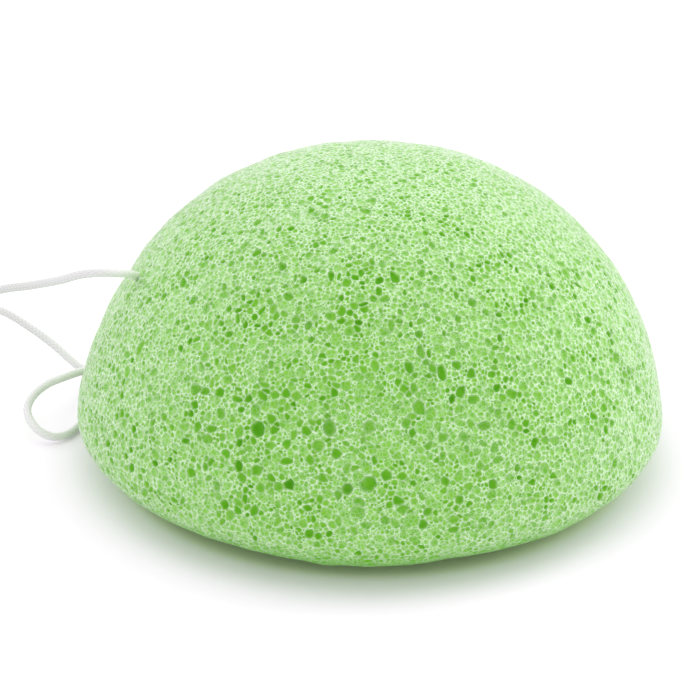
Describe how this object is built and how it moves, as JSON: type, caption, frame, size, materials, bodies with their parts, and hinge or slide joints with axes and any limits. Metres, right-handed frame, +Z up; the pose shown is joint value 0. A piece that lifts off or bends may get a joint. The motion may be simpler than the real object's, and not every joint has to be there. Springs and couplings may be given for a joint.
{
  "type": "konjac sponge",
  "caption": "Dome-shaped facial sponge of open foam with a flat base, and a braided cord threaded through its side and knotted into a hanging loop.",
  "frame": {"origin": "middle of the flat base that the sponge rests on", "axes": "+Z up through the crown, -Y towards the viewer of the picture, -X towards the side where the cord hangs"},
  "size_m": [0.13, 0.0986, 0.042],
  "materials": {
    "foam": "matt open-cell plant foam",
    "cord": "braided synthetic cord with a soft sheen"
  },
  "bodies": {
    "sponge": {"sponge": "foam"},
    "cord_run": {"threaded_run": "cord"},
    "cord_loop": {"long_loop": "cord", "knot": "cord", "small_loop": "cord", "long_tail": "cord", "short_tail": "cord"}
  },
  "joints": [
    {"name": "cord_slide", "type": "slide", "parent": "sponge", "child": "cord_run", "axis": [0.179, 0.8536, -0.4892], "range_m": [-0.002, 0.002]},
    {"name": "loop_swing", "type": "hinge", "parent": "cord_run", "child": "cord_loop", "pos_m": [-0.0315, -0.00348, 0.0278], "axis": [0.179, 0.8536, -0.4892], "range_deg": [0, 90]}
  ]
}
